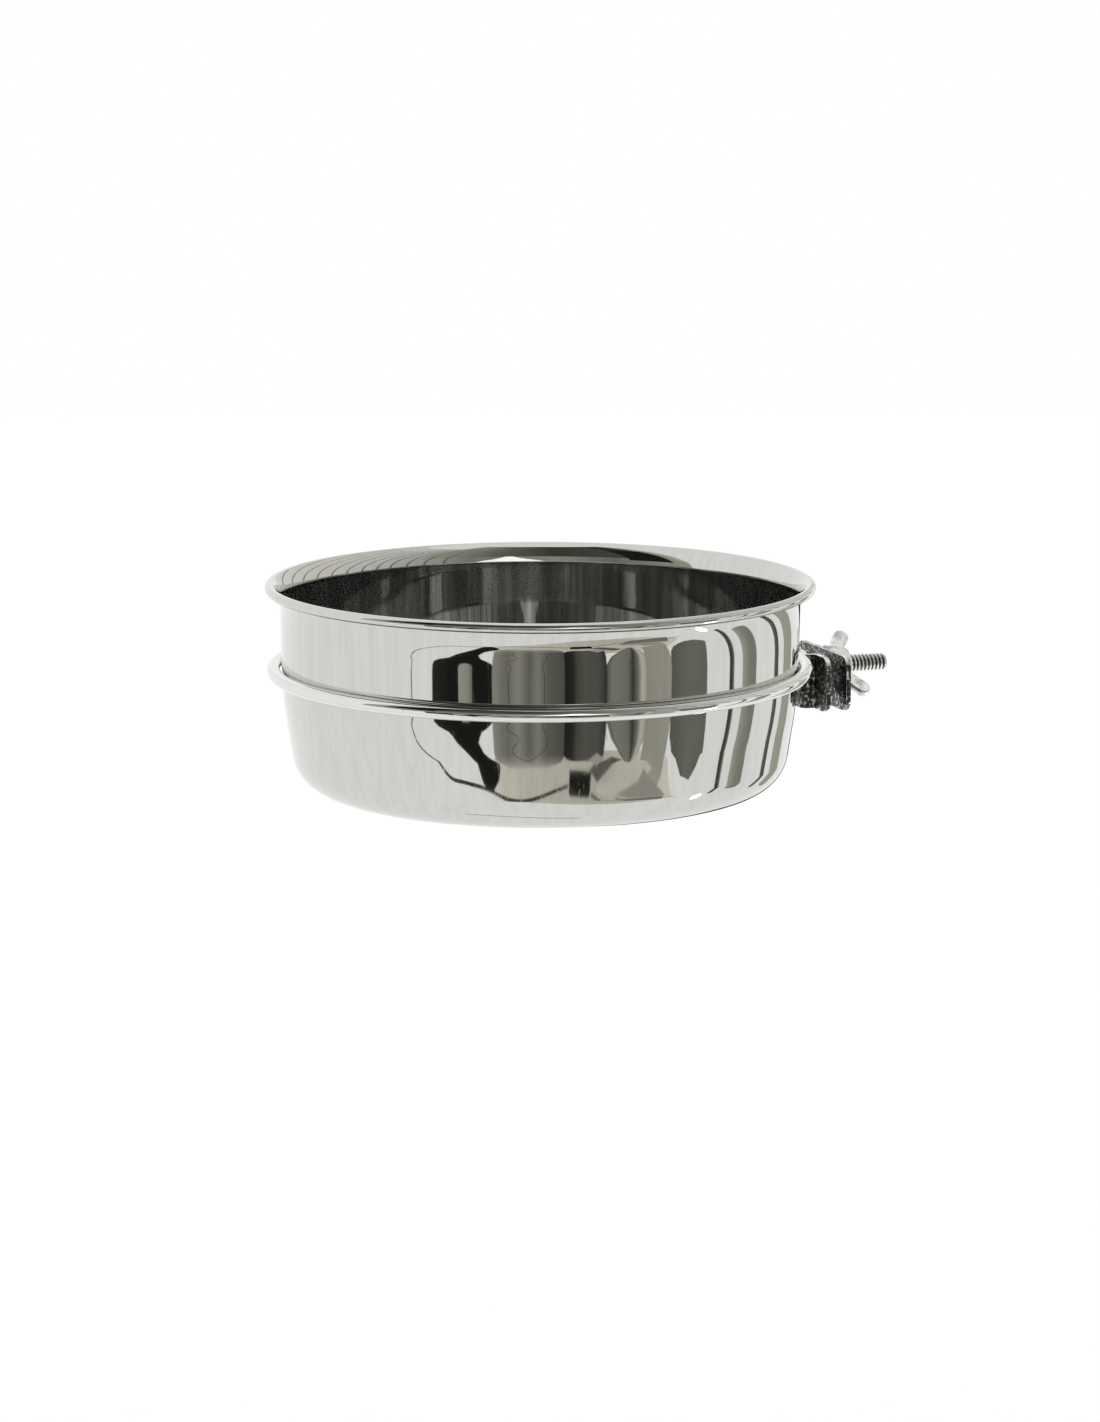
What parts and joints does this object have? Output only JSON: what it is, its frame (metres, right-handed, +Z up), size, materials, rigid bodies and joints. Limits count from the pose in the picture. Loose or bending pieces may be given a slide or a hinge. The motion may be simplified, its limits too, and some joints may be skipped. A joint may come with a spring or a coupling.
{
  "type": "clamp-on seed cup",
  "caption": "Round polished steel cup with a rolled rim that drops into a wire ring, with a bolt, plate and wing nut clamp that fixes the ring to cage bars.",
  "frame": {"origin": "on the clamp bolt's axis, in the plane where the fixed plate meets the cage bars", "axes": "+X along the bolt, away from the cup; +Z up, out of the cup's mouth; +Y along the cage wall"},
  "size_m": [0.1663, 0.14, 0.0528],
  "materials": {
    "polished_steel": "mirror-polished stainless steel",
    "plated_wire": "bright nickel plate on steel wire",
    "plated_plate": "worn plate over pressed steel",
    "weld_metal": "rough plated weld",
    "plated_bolt": "zinc plated thread",
    "plated_nut": "bright zinc plate on a pressed wing nut"
  },
  "bodies": {
    "holder": {"holder_ring": "plated_wire", "fixed_plate": "plated_plate", "ring_welds": "weld_metal", "clamp_bolt": "plated_bolt"},
    "cup": {"cup": "polished_steel"},
    "loose_plate": {"loose_plate": "plated_plate"},
    "wing_nut": {"wing_nut": "plated_nut"}
  },
  "joints": [
    {"name": "cup_lift", "type": "slide", "parent": "holder", "child": "cup", "axis": [0, 0, 1], "range_m": [0, 0.06]},
    {"name": "jaw_slide", "type": "slide", "parent": "holder", "child": "loose_plate", "axis": [1, 0, 0], "range_m": [-0.0041, 0.0101]},
    {"name": "nut_spin", "type": "hinge", "parent": "loose_plate", "child": "wing_nut", "pos_m": [0.0056, 0, 0], "axis": [1, 0, 0], "range_deg": [-1393.3, 3432.2]}
  ],
  "couplings": [
    {"joint": "jaw_slide", "follows": "nut_spin", "m_per_rad": 0.00016844}
  ]
}
